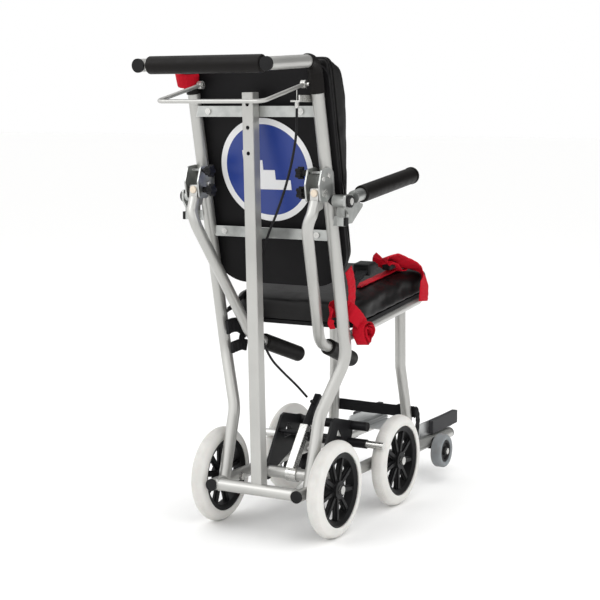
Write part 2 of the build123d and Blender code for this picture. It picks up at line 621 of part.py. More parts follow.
# ---- pivot bolts, axles and pins (one group of like fasteners) -------------------------------------------
with BuildPart() as axles_and_bolts:
    for side, wheel_x, wheel_y in WHEELS.values():
        hub_end = wheel_x + HUB_OUT + GAP
        rod((side * 80, wheel_y, AXLE_Z), (side * hub_end, wheel_y, AXLE_Z), AXLE_R)
        rod((side * hub_end, wheel_y, AXLE_Z), (side * (hub_end + 6), wheel_y, AXLE_Z), 8.5)
        rod((side * 112.9, wheel_y, AXLE_Z), (side * (wheel_x + HUB_IN - GAP), wheel_y, AXLE_Z), 8)
        with BuildSketch(Plane(origin=(side * 80, wheel_y, AXLE_Z), x_dir=(0, 1, 0), z_dir=(side, 0, 0))):
            RegularPolygon(8.5, 6)
        extrude(amount=7)
    for side in SIDES.values():
        rod((side * 108, SMALL_Y, SMALL_Z), (side * (SMALL_OUT - 1 + GAP), SMALL_Y, SMALL_Z), 4)
        rod((side * (SMALL_OUT - 1 + GAP), SMALL_Y, SMALL_Z), (side * (SMALL_OUT + 3), SMALL_Y, SMALL_Z), 7)
        rod((side * CHEEK_IN, HINGE_Y, HINGE_Z), (side * (CHEEK_OUT + CHEEK), HINGE_Y, HINGE_Z), 4)
        rod((side * (CHEEK_OUT + CHEEK), HINGE_Y, HINGE_Z), (side * 158, HINGE_Y, HINGE_Z), 7.5)
        rod((side * 156.5, ARM_Y, ARM_Z), (side * 192, ARM_Y, ARM_Z), 4)
        rod((side * 192, ARM_Y, ARM_Z), (side * 196.5, ARM_Y, ARM_Z), 7)
        rod((side * 129.2, BAIL_Y, BAIL_Z), (side * 111, BAIL_Y, BAIL_Z), 3.5)
save(axles_and_bolts, "axles_and_bolts")

# ---- brake bail -------------------------------------------------------------------------------------------
BAIL_X = 118.0
BAIL_R = 4.0
with BuildPart() as brake_bail:
    with BuildLine() as path:
        FilletPolyline((-BAIL_X, BAIL_Y, BAIL_Z), (-BAIL_X, -247, 879), (BAIL_X, -247, 879),
                       (BAIL_X, BAIL_Y, BAIL_Z), radius=14)
    with BuildSketch(start_plane(path.line)):
        Circle(BAIL_R)
    sweep()
    for side in SIDES.values():
        rod((side * (BAIL_X - 5), BAIL_Y, BAIL_Z), (side * (BAIL_X + 5), BAIL_Y, BAIL_Z), 8)
    cut_rod((-150, BAIL_Y, BAIL_Z), (150, BAIL_Y, BAIL_Z), 3.5 + RUNNING)
save(brake_bail, "brake_bail")

CABLE_TOP = (117, -121, 866)
with BuildPart() as cable_stop:
    block(126, 129, -130, -80, 878, 891)
    block(108, 129, -130, -112, 878, 881)
    cut_rod(back_path(1)[1], back_path(1)[2], TUBE_R)
    rod((117, -121, 866.4), (117, -121, 879), 4)
    rod((117, -121, 880), (117, -121, 900.5), 0.9)
save(cable_stop, "cable_stop")

# ---- brake rocker --------------------------------------------------------------------------------------------
SHOE_Y, SHOE_Z = WHEELBASE - 95.4, 151.4
UPPER_Y, UPPER_Z = 213.0, 185.0
RING_R = 19.0
PLATE_X = 60.0
with BuildPart() as brake_yoke:
    for side in SIDES.values():
        x0, x1 = sorted((side * PLATE_X, side * (PLATE_X + 5)))
        plate_yz(x0, x1 - x0, [(62, 112), (88, 96), (SHOE_Y + 8, SHOE_Z - 12), (UPPER_Y + 10, UPPER_Z + 8),
                               (140, 214), (126, 210)], 4)
        with BuildSketch(Plane(origin=(x0, 0, 0), x_dir=(0, 1, 0), z_dir=(1, 0, 0))) as window:
            Polygon((132, 158), (178, 160), (152, 192), align=None)
            fillet(window.vertices(), 4)
        extrude(amount=x1 - x0, mode=Mode.SUBTRACT)
        rod((x0, BRAKE_Y, BRAKE_Z), (x1, BRAKE_Y, BRAKE_Z), RING_R)
    rod((-103, UPPER_Y, UPPER_Z), (103, UPPER_Y, UPPER_Z), 10)
    rod((-110, SHOE_Y, SHOE_Z), (110, SHOE_Y, SHOE_Z), 10)
    rod((-PLATE_X, 118, 178), (PLATE_X, 118, 178), 5)
    cut_rod((-100, BRAKE_Y, BRAKE_Z), (100, BRAKE_Y, BRAKE_Z), TUBE_R + RUNNING)
save(brake_yoke, "brake_yoke")

with BuildPart() as brake_shoes:
    for side in SIDES.values():
        rod((side * 110, SHOE_Y, SHOE_Z), (side * 150, SHOE_Y, SHOE_Z), 8)
save(brake_shoes, "brake_shoes")

LEVER_LOW = (0, 60, 112)
LEVER_HIGH = (0, 123, 193)
with BuildPart() as brake_lever_tube:
    with BuildSketch(Plane(origin=LEVER_LOW, x_dir=(1, 0, 0), z_dir=Vector(*LEVER_HIGH) - Vector(*LEVER_LOW))):
        RectangleRounded(19, 19, 2)
    extrude(amount=(Vector(*LEVER_HIGH) - Vector(*LEVER_LOW)).length)
    rod((-12, BRAKE_Y, BRAKE_Z), (12, BRAKE_Y, BRAKE_Z), 16)
    cut_rod((-20, BRAKE_Y, BRAKE_Z), (20, BRAKE_Y, BRAKE_Z), TUBE_R + RUNNING)
    cut_rod((-20, 118, 178), (20, 118, 178), 5)
save(brake_lever_tube, "brake_lever_tube")

LEVER_TIP = (0, 180, 250)
CABLE_CORNER = (0, 84, 288)
CABLE_END = (0, 158, 236)
ARM_START = toward(LEVER_HIGH, LEVER_TIP, 1.4)
with BuildPart() as brake_lever_arm:
    with BuildSketch(Plane(origin=ARM_START, x_dir=(1, 0, 0), z_dir=Vector(*LEVER_TIP) - ARM_START)):
        RectangleRounded(15, 13, 3)
    extrude(amount=(Vector(*LEVER_TIP) - ARM_START).length)
    rod(toward(CABLE_END, CABLE_CORNER, -6), toward(CABLE_END, CABLE_CORNER, 12), 3.5)
save(brake_lever_arm, "brake_lever_arm")

# ---- brake cable, held along its whole length ------------------------------------------------------------------
CABLE_R = 2.5
CABLE_ROUTE = [CABLE_TOP, (115, -119, 815), (101, -114, 758), (80, -107, 703), (52, -92, 655), (23, -70, 620),
               (3, -59, 574), (-5, -58, 516), (-6, -58, 456), (-5, -49, 402), (-3, -16, 357),
               (-1, 32, 322), (0, 84, 288), (0, 128, 256)]


def route_radii(points):
    """Largest arc that each corner of a route has room for."""
    radii = []
    for a, b, c in zip(points, points[1:], points[2:]):
        run_in = Vector(*b) - Vector(*a)
        run_out = Vector(*c) - Vector(*b)
        half_turn = radians(run_in.get_angle(run_out) / 2)
        radii.append(0.45 * min(run_in.length, run_out.length) / tan(half_turn))
    return radii


cable_radii = route_radii(CABLE_ROUTE)
with BuildPart() as brake_cable:
    with BuildLine() as path:
        FilletPolyline(*CABLE_ROUTE, radius=cable_radii)
    with BuildSketch(start_plane(path.line)) as section:
        Circle(CABLE_R)
    sweep()
cable_length = sum(edge.length for edge in path.line.edges())
print("brake_cable radii", [round(r) for r in cable_radii], "length", round(cable_length, 1),
      "volume ratio", round(brake_cable.part.volume / (section.sketch.area * cable_length), 4))
save(brake_cable, "brake_cable")

# ---- straps and belt (plain closed solids for the soft parts) ----------------------------------------------------
with BuildPart() as calf_strap:
    block(-104, 110, 441, 445, 164, 190)
    block(111, 114, 430, 453, 124, 190)
save(calf_strap, "calf_strap")

BAND = [(205, 558), (290, 551), (345, 533), (374, 519), (374, 513), (343, 525), (287, 542), (205, 551)]
with BuildPart() as seat_belt_red:
    plate_yz(118, 36, BAND)
    block(140, 164, 345, 386, 513, 519)
    block(159, 164, 345, 386, 444, 516)
    block(118, 164, 28, 32, 442, 480)
    block(149, 152, 30, 56, 476, 540)
    block(159, 164, 28, 64, 405, 470)
    rod((159, 60, 414), (181, 60, 414), 22)
    cut_rod(back_path(1)[1], toward(back_path(1)[2], back_path(1)[1], -40), TUBE_R + 0.4)
save(seat_belt_red, "seat_belt_red")

with BuildPart() as seat_belt_buckle:
    block(106, 146, 130, 170, 522, 549)
    fillet(seat_belt_buckle.edges(), 4)
save(seat_belt_buckle, "seat_belt_buckle")

with BuildPart() as belt_pouch_left:
    block(-128, -110, 42, 76, 348, 412)
    fillet(belt_pouch_left.edges(), 4)
save(belt_pouch_left, "belt_pouch_left")
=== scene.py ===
"""Looks of the stair chair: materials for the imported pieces, soft goods, straps, badge and small details.

Lengths are in metres in the row frame.  V() takes the drawing's own millimetres, measured from the rear axle.
"""

import math

import bmesh
import bpy
from mathutils import Matrix, Vector
from mathutils.bvhtree import BVHTree


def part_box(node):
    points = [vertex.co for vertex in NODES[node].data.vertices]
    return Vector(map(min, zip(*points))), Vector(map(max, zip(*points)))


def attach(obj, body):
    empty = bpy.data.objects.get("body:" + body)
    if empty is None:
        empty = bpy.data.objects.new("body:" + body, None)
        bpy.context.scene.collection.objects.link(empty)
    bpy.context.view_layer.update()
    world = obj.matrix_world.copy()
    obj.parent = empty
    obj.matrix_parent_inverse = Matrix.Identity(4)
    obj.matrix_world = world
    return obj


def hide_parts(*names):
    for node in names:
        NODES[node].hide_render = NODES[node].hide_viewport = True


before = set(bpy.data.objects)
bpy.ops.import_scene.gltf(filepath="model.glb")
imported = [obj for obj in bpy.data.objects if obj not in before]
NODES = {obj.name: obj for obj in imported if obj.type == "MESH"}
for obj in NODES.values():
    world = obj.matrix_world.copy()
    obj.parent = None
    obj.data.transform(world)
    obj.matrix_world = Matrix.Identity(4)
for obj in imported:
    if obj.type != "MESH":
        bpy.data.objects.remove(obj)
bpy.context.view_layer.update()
CENTRE_Y = 206.625       # middle of the footprint, in mm in front of the rear axle
SIDES = {"left": -1, "right": 1}
X1 = (1, 0, 0)
UP = (0, 0, 1)


def V(x, y, z):
    """Point of the drawing (mm from the rear axle) in the row frame (m)."""
    return Vector((x / 1000, (y - CENTRE_Y) / 1000, z / 1000))


# ---- node-tree helpers ------------------------------------------------------------------------
class Shader:
    """A material's node tree with short calls for the nodes used here."""

    def __init__(self, name):
        self.mat = bpy.data.materials.new(name)
        self.mat.use_nodes = True
        self.tree = self.mat.node_tree
        self.tree.nodes.clear()
        self.out = self.node("ShaderNodeOutputMaterial")
        self.bsdf = self.node("ShaderNodeBsdfPrincipled")
        self.link(self.bsdf.outputs[0], self.out.inputs[0])
        self.where = self.node("ShaderNodeTexCoord").outputs["Object"]

    def node(self, kind, **settings):
        made = self.tree.nodes.new(kind)
        for key, value in settings.items():
            setattr(made, key, value)
        return made

    def link(self, a, b):
        self.tree.links.new(a, b)

    def value(self, socket, thing):
        if hasattr(thing, "links"):
            self.link(thing, socket)
        else:
            socket.default_value = thing

    def noise(self, scale, detail=3.0, rough=0.5, vector=None, distortion=0.0):
        made = self.node("ShaderNodeTexNoise")
        self.link(vector or self.where, made.inputs["Vector"])
        made.inputs["Scale"].default_value = scale
        made.inputs["Detail"].default_value = detail
        made.inputs["Roughness"].default_value = rough
        made.inputs["Distortion"].default_value = distortion
        return made.outputs["Fac"]

    def cells(self, scale):
        made = self.node("ShaderNodeTexVoronoi")
        self.link(self.where, made.inputs["Vector"])
        made.inputs["Scale"].default_value = scale
        return made.outputs["Distance"]

    def math(self, operation, a, b=0.0, c=0.0):
        made = self.node("ShaderNodeMath", operation=operation)
        self.value(made.inputs[0], a)
        self.value(made.inputs[1], b)
        self.value(made.inputs[2], c)
        return made.outputs[0]

    def ramp(self, fac, low, high, span=(0.3, 0.7)):
        """Value or colour that goes from low to high as fac crosses the span."""
        made = self.node("ShaderNodeMapRange")
        self.value(made.inputs["Value"], fac)
        made.inputs["From Min"].default_value, made.inputs["From Max"].default_value = span
        if not isinstance(low, tuple):
            made.inputs["To Min"].default_value, made.inputs["To Max"].default_value = low, high
            return made.outputs[0]
        mix = self.node("ShaderNodeMix", data_type="RGBA")
        self.link(made.outputs[0], mix.inputs[0])
        mix.inputs[6].default_value = (*low, 1)
        mix.inputs[7].default_value = (*high, 1)
        return mix.outputs[2]

    def mix(self, fac, a, b):
        made = self.node("ShaderNodeMix", data_type="RGBA")
        self.value(made.inputs[0], fac)
        for socket, thing in ((made.inputs[6], a), (made.inputs[7], b)):
            self.value(socket, (*thing, 1) if isinstance(thing, tuple) else thing)
        return made.outputs[2]

    def bump(self, height, strength=0.3, distance=0.001, after=None):
        made = self.node("ShaderNodeBump")
        self.value(made.inputs["Height"], height)
        made.inputs["Strength"].default_value = strength
        made.inputs["Distance"].default_value = distance
        if after is not None:
            self.link(after, made.inputs["Normal"])
        self.link(made.outputs[0], self.bsdf.inputs["Normal"])
        return made.outputs[0]

    def wear(self, radius=0.004):
        """1 on sharp outer edges, 0 on flat faces."""
        bevel = self.node("ShaderNodeBevel", samples=4)
        bevel.inputs["Radius"].default_value = radius
        plain = self.node("ShaderNodeNewGeometry")
        dot = self.node("ShaderNodeVectorMath", operation="DOT_PRODUCT")
        self.link(bevel.outputs[0], dot.inputs[0])
        self.link(plain.outputs["Normal"], dot.inputs[1])
        return self.ramp(dot.outputs["Value"], 1.0, 0.0, (0.80, 0.97))

    def set(self, **inputs):
        """Set or link the shader's sockets by name, with _ for a space, and return the material."""
        for key, thing in inputs.items():
            socket = self.bsdf.inputs[key.replace("_", " ")]
            self.value(socket, (*thing, 1) if isinstance(thing, tuple) and len(thing) == 3 else thing)
        return self.mat


# ---- materials --------------------------------------------------------------------------------
def painted_silver():
    s = Shader("frame_silver")
    flakes = s.noise(2600, 2, 0.6)
    cloud = s.noise(9, 3)
    tone = s.mix(s.ramp(cloud, 0.0, 1.0), (0.425, 0.424, 0.406), (0.485, 0.482, 0.462))
    tone = s.mix(s.ramp(flakes, 0.0, 0.22, (0.45, 0.7)), tone, (0.56, 0.56, 0.54))
    tone = s.mix(s.math("MULTIPLY", s.wear(0.003), 0.25), tone, (0.50, 0.50, 0.49))
    s.bump(flakes, 0.06, 0.0002)
    return s.set(Base_Color=tone, Metallic=0.62, Roughness=s.ramp(cloud, 0.29, 0.40), Coat_Weight=0.3,
                 Coat_Roughness=0.25)


def zinc(name, low, high, rough):
    s = Shader(name)
    grain = s.noise(420, 4, 0.65, distortion=0.4)
    blotch = s.noise(60, 2)
    tone = s.mix(s.ramp(blotch, 0.0, 1.0), low, high)
    tone = s.mix(s.math("MULTIPLY", s.wear(0.0015), 0.5), tone, (0.9, 0.9, 0.88))
    s.bump(grain, 0.10, 0.0003)
    return s.set(Base_Color=tone, Metallic=0.9, Roughness=s.ramp(grain, rough - 0.06, rough + 0.08))


def aluminium_plate():
    s = Shader("pale_aluminium")
    mapping = s.node("ShaderNodeMapping")
    s.link(s.where, mapping.inputs["Vector"])
    mapping.inputs["Scale"].default_value = (900, 12, 900)
    brushed = s.noise(1.0, 4, 0.6, vector=mapping.outputs[0])
    tone = s.mix(s.ramp(brushed, 0.0, 1.0), (0.46, 0.47, 0.47), (0.58, 0.59, 0.59))
    s.bump(brushed, 0.10, 0.0002)
    return s.set(Base_Color=tone, Metallic=0.85, Roughness=s.ramp(brushed, 0.28, 0.42))


def black_plastic(name="black_plastic", tone=(0.0075, 0.0075, 0.008), rough=0.42, grain=1100):
    s = Shader(name)
    pits = s.noise(grain, 2, 0.6)
    haze = s.noise(28, 3)
    colour = s.mix(s.ramp(haze, 0.0, 1.0), tone, tuple(1.5 * c + 0.001 for c in tone))
    colour = s.mix(s.math("MULTIPLY", s.wear(0.002), 0.35), colour, (0.045, 0.045, 0.045))
    s.bump(pits, 0.14, 0.0002)
    return s.set(Base_Color=colour, Roughness=s.ramp(haze, rough - 0.05, rough + 0.09),
                 Specular_IOR_Level=0.15)


def foam():
    s = Shader("grip_foam")
    pores = s.cells(1500)
    lumps = s.noise(70, 3)
    colour = s.mix(s.ramp(pores, 0.0, 1.0, (0.1, 0.5)), (0.0030, 0.0025, 0.0023), (0.0070, 0.0060, 0.0056))
    first = s.bump(pores, 0.22, 0.0003)
    s.bump(lumps, 0.12, 0.001, first)
    return s.set(Base_Color=colour, Roughness=s.ramp(lumps, 0.40, 0.52), Specular_IOR_Level=0.13)


def tyre(name, centre, colour, dirt, radius, groove):
    """Rubber with fine rings round its own axle and a little grey from use on the tread."""
    s = Shader(name)
    shift = s.node("ShaderNodeVectorMath", operation="SUBTRACT")
    s.link(s.where, shift.inputs[0])
    shift.inputs[1].default_value = centre
    parts = s.node("ShaderNodeSeparateXYZ")
    s.link(shift.outputs[0], parts.inputs[0])
    x, y, z = parts.outputs
    r = s.math("SQRT", s.math("ADD", s.math("POWER", y, 2.0), s.math("POWER", z, 2.0)))
    rings = s.math("SINE", s.math("MULTIPLY", x, groove))
    angle = s.math("ARCTAN2", z, y)
    blocks = s.math("SINE", s.math("MULTIPLY", angle, 84.0))
    tread = s.ramp(r, 0.0, 1.0, (radius - 0.006, radius - 0.002))
    cloud = s.noise(35, 4)
    grit = s.noise(900, 2)
    tone = s.mix(s.ramp(cloud, 0.0, 1.0), colour, tuple(0.93 * c for c in colour))
    tone = s.mix(s.math("MULTIPLY", tread, s.ramp(cloud, 0.12, 0.6)), tone, dirt)
    pattern = s.math("MULTIPLY", s.math("MAXIMUM", rings, s.math("MULTIPLY", blocks, 0.4)), tread)
    first = s.bump(pattern, 0.5, 0.0008)
    s.bump(grit, 0.15, 0.0002, first)
    return s.set(Base_Color=tone, Roughness=s.ramp(cloud, 0.55, 0.7), Specular_IOR_Level=0.35,
                 Subsurface_Weight=0.03)


def upholstery():
    s = Shader("upholstery")
    grain = s.cells(620)
    fine = s.noise(1500, 3)
    folds = s.noise(7, 3, 0.5, distortion=0.8)
    haze = s.noise(22, 3)
    colour = s.mix(s.ramp(haze, 0.0, 1.0), (0.0045, 0.0042, 0.0043), (0.0085, 0.0080, 0.0080))
    first = s.bump(grain, 0.22, 0.0004)
    second = s.bump(fine, 0.10, 0.0002, first)
    s.bump(folds, 0.12, 0.004, second)
    return s.set(Base_Color=colour, Roughness=s.ramp(haze, 0.34, 0.46), Specular_IOR_Level=0.20)


def board_cover():
    """Black coated cloth on the back of the backrest, and the board under the seat."""
    s = Shader("board_cover")
    weave = s.cells(900)
    haze = s.noise(12, 3)
    colour = s.mix(s.ramp(haze, 0.0, 1.0), (0.0045, 0.0042, 0.0048), (0.0080, 0.0077, 0.0083))
    first = s.bump(weave, 0.2, 0.0003)
    s.bump(s.noise(5, 2), 0.15, 0.004, first)
    return s.set(Base_Color=colour, Roughness=s.ramp(haze, 0.5, 0.62), Specular_IOR_Level=0.14)


def webbing(name, dark, light):
    """Woven strap: the pattern runs across and along the strap, from its own attribute."""
    s = Shader(name)
    along = s.node("ShaderNodeAttribute", attribute_name="strap")
    parts = s.node("ShaderNodeSeparateXYZ")
    s.link(along.outputs["Vector"], parts.inputs[0])
    warp = s.math("SINE", s.math("MULTIPLY", parts.outputs[0], 2400.0))
    weft = s.math("SINE", s.math("ADD", s.math("MULTIPLY", parts.outputs[1], 2800.0),
                                 s.math("MULTIPLY", warp, 1.2)))
    weave = s.math("MULTIPLY", s.math("ADD", warp, 1.0), s.math("ADD", weft, 1.0))
    cloud = s.noise(30, 3)
    tone = s.mix(s.ramp(weave, 0.0, 1.0, (0.2, 2.6)), dark, light)
    tone = s.mix(s.ramp(cloud, 0.0, 0.35), tone, dark)
    s.bump(weave, 0.4, 0.0005)
    return s.set(Base_Color=tone, Roughness=0.72, Specular_IOR_Level=0.15, Sheen_Weight=0.08,
                 Sheen_Roughness=0.4, Sheen_Tint=tuple(min(1.0, 2 * c) for c in light))


def gloss_print(name, colour, rough=0.28):
    s = Shader(name)
    fine = s.noise(260, 3)
    cloud = s.noise(14, 2)
    tone = s.mix(s.ramp(cloud, 0.0, 1.0), colour, tuple(min(1.0, 1.12 * c) for c in colour))
    s.bump(fine, 0.05, 0.0003)
    return s.set(Base_Color=tone, Roughness=s.ramp(fine, rough, rough + 0.1))


SILVER = painted_silver()
ZINC = zinc("zinc_plate", (0.36, 0.37, 0.36), (0.46, 0.47, 0.455), 0.34)
BRIGHT = zinc("bright_zinc", (0.50, 0.50, 0.485), (0.62, 0.615, 0.59), 0.24)
PLATE = aluminium_plate()
PLASTIC = black_plastic()
BLACK_METAL = black_plastic("black_metal", (0.010, 0.010, 0.011), 0.34, 500)
GUARD = black_plastic("guard_grey", (0.030, 0.030, 0.032), 0.5, 800)
FOAM = foam()
LEATHER = upholstery()
BOARD = board_cover()
RED = webbing("webbing_red", (0.36, 0.002, 0.009), (0.80, 0.005, 0.030))
BLACK_WEB = webbing("webbing_black", (0.006, 0.006, 0.007), (0.022, 0.022, 0.024))
BLUE = gloss_print("badge_blue", (0.014, 0.040, 0.235))
WHITE = gloss_print("badge_white", (0.80, 0.80, 0.80), 0.35)
CREAM = gloss_print("plug_cream", (0.72, 0.62, 0.50), 0.4)

LOOKS = {
    "base_rails": SILVER, "base_cross_tubes": SILVER, "back_tubes": SILVER, "centre_post": SILVER,
    "seat_frame": SILVER, "front_legs": SILVER, "push_bar_tube": SILVER, "carry_tube_left": SILVER,
    "carry_tube_right": SILVER, "back_cross_bars": ZINC, "pad_fasteners": BRIGHT, "carry_brackets": ZINC,
    "armrest_left": ZINC, "armrest_right": ZINC, "armrest_brackets": ZINC, "axles_and_bolts": BRIGHT,
    "brake_bail": SILVER, "cable_stop": BRIGHT, "brake_lever_tube": BRIGHT, "brake_shoes": BRIGHT,
    "tube_end_caps": PLASTIC, "elbow_covers": FOAM, "push_bar_grip": FOAM, "carry_grip_left": FOAM,
    "carry_grip_right": FOAM, "armrest_grip_left": FOAM, "armrest_grip_right": FOAM,
    "armrest_stops": PLASTIC, "lock_knob_left": PLASTIC, "lock_knob_right": PLASTIC, "pivot_knobs": PLASTIC,
    "brake_yoke": BLACK_METAL, "brake_lever_arm": BLACK_METAL, "small_wheel_brackets": BLACK_METAL,
    "guard_brackets": PLATE, "footplate_left": PLATE, "footplate_right": PLATE, "foot_guards": GUARD,
    "seat_board": BOARD, "back_board": BOARD, "brake_cable": PLASTIC, "small_hub_left": PLASTIC,
    "small_hub_right": PLASTIC,
}
for name in ("rear_left", "rear_right", "front_left", "front_right"):
    LOOKS[f"{name}_rim"] = PLASTIC
WHEELS = {
    "rear_left_tyre": (-136.6, 0, 100), "rear_right_tyre": (136.6, 0, 100),
    "front_left_tyre": (-133.5, 291.5, 100), "front_right_tyre": (133.5, 291.5, 100),
}
for name, centre in WHEELS.items():
    LOOKS[name] = tyre(f"{name}_rubber", V(*centre), (0.74, 0.73, 0.70), (0.60, 0.59, 0.56), 0.100, 2400.0)
for name, side in SIDES.items():
    LOOKS[f"small_tyre_{name}"] = tyre(f"small_tyre_{name}_rubber", V(side * 131.5, 541, 70.5),
                                       (0.24, 0.26, 0.27), (0.17, 0.17, 0.17), 0.0385, 500.0)


def smooth(obj, angle=35):
    """Smooth shading with creases kept sharp."""
    mesh = obj.data
    mesh.polygons.foreach_set("use_smooth", [True] * len(mesh.polygons))
    mesh.set_sharp_from_angle(angle=math.radians(angle))


for name, material in LOOKS.items():
    node = NODES[name]
    node.data.materials.clear()
    node.data.materials.append(material)
    smooth(node)


# ---- building pieces ---------------------------------------------------------------------------
def piece(name, mesh, material, body="frame"):
    """Object for a mesh made in the row frame, with its material, riding on a body."""
    obj = bpy.data.objects.new(name, mesh)
    bpy.context.scene.collection.objects.link(obj)
    mesh.materials.clear()
    mesh.materials.append(material)
    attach(obj, body)
    return obj


def spline_points(points, steps):
    """Points on a smooth curve through the given ones."""
    out = []
    last = len(points) - 1
    for i in range(last):
        p0, p1, p2, p3 = points[max(i - 1, 0)], points[i], points[i + 1], points[min(i + 2, last)]
        for k in range(steps):
            t = k / steps
            out.append(0.5 * ((2 * p1) + (p2 - p0) * t + (2 * p0 - 5 * p1 + 4 * p2 - p3) * t * t
                              + (3 * p1 - p0 - 3 * p2 + p3) * t ** 3))
    out.append(points[-1].copy())
    return out


RIPPLE = 0.0004          # webbing's unevenness
STRAP_EDGE = 0.0012      # largest rounding of webbing's long edges


def strap(name, path, sides, width, thick, material, steps=10):
    """Webbing along a path; sides gives the direction of its width at each point of the path."""
    line = spline_points([V(*p) for p in path], steps)
    across = spline_points([Vector(s).normalized() for s in sides], steps)
    w, t, e = width / 2000, thick / 2000, min(thick / 2000, STRAP_EDGE)
    section = [(-w + e, -t), (-w / 2, -t), (0, -t), (w / 2, -t), (w - e, -t), (w, -t + e * 0.8),
               (w, t - e * 0.8), (w - e, t), (w / 2, t), (0, t), (-w / 2, t), (-w + e, t),
               (-w, t - e * 0.8), (-w, -t + e * 0.8)]
    mesh = bpy.data.meshes.new(name)
    verts, coords = [], []
    length = 0.0
    for i, p in enumerate(line):
        forward = (line[min(i + 1, len(line) - 1)] - line[max(i - 1, 0)]).normalized()
        side = (across[i] - forward * across[i].dot(forward)).normalized()
        up = forward.cross(side)
        if i:
            length += (p - line[i - 1]).length
        for a, b in section:
            ripple = RIPPLE * math.sin(9 * i / steps + 40 * a)
            verts.append(p + side * a + up * (b + ripple))
            coords.append((a, length, 0.0))
    n = len(section)
    faces = []
    for i in range(len(line) - 1):
        for k in range(n):
            a, b = i * n + k, i * n + (k + 1) % n
            faces.append((a, b, b + n, a + n))
    faces.append(tuple(range(n - 1, -1, -1)))
    faces.append(tuple(range((len(line) - 1) * n, len(line) * n)))
    mesh.from_pydata(verts, [], faces)
    layer = mesh.attributes.new("strap", "FLOAT_VECTOR", "POINT")
    layer.data.foreach_set("vector", [c for co in coords for c in co])
    mesh.update()
    obj = piece(name, mesh, material)
    smooth(obj, 50)
    return obj


def wire(name, points, radius, material, cyclic=False):
    """Round line through points, as a mesh."""
    curve = bpy.data.curves.new(name, "CURVE")
    curve.dimensions = "3D"
    curve.bevel_depth = radius
    curve.bevel_resolution = 3
    curve.resolution_u = 6
    curve.use_fill_caps = not cyclic
    line = curve.splines.new("NURBS")
    line.points.add(len(points) - 1)
    for spot, p in zip(line.points, points):
        spot.co = (*p, 1)
    line.order_u = 3
    line.use_cyclic_u = cyclic
    line.use_endpoint_u = not cyclic
    holder = bpy.data.objects.new(name + "_curve", curve)
    mesh = bpy.data.meshes.new_from_object(holder)
    bpy.data.objects.remove(holder)
    bpy.data.curves.remove(curve)
    obj = piece(name, mesh, material)
    smooth(obj, 60)
    return obj


def spun(name, origin, axis, profile, material, body="frame", segments=48):
    """Turned piece: profile is (radius, height) in mm, spun round the axis through origin."""
    mesh = bpy.data.meshes.new(name)
    turn = Vector((0, 0, 1)).rotation_difference(Vector(axis)).to_matrix()
    verts, faces = [], []
    n = len(profile)
    for k in range(segments):
        a = 2 * math.pi * k / segments
        for r, h in profile:
            verts.append(origin + turn @ Vector((r * math.cos(a) / 1000, r * math.sin(a) / 1000, h / 1000)))
    for k in range(segments):
        for i in range(n - 1):
            a, b = k * n + i, ((k + 1) % segments) * n + i
            faces.append((a, b, b + 1, a + 1))
    mesh.from_pydata(verts, [], faces)
    bm = bmesh.new()
    bm.from_mesh(mesh)
    bmesh.ops.remove_doubles(bm, verts=bm.verts, dist=1e-6)
    bmesh.ops.recalc_face_normals(bm, faces=bm.faces)
    bm.to_mesh(mesh)
    bm.free()
    obj = piece(name, mesh, material, body)
    smooth(obj, 40)
    return obj


# ---- cushions ------------------------------------------------------------------------------------
VOXEL = 0.005            # mesh size of a cushion before its cloth run
INSET = 0.002            # how much smaller than its CAD solid a cushion starts
CLOTH_FRAMES = 20
SMOOTHING = 14
HELD_FROM = 0.003        # height above the board where a cover starts to move
HELD_OVER = 0.018        # it moves freely from this much higher up
BOARD_GAP = 0.0004       # clear gap between a cover and its board
PEAK_OVER = 0.04         # length over which an edge that stands up rises
PEAK_DEPTH = 0.085       # the rise fades over this thickness, to PEAK_LEAST of it
PEAK_LEAST = 0.35


def baked(obj):
    """Apply an object's modifiers to its mesh."""
    mesh = bpy.data.meshes.new_from_object(obj.evaluated_get(bpy.context.evaluated_depsgraph_get()))
    obj.modifiers.clear()
    obj.data = mesh


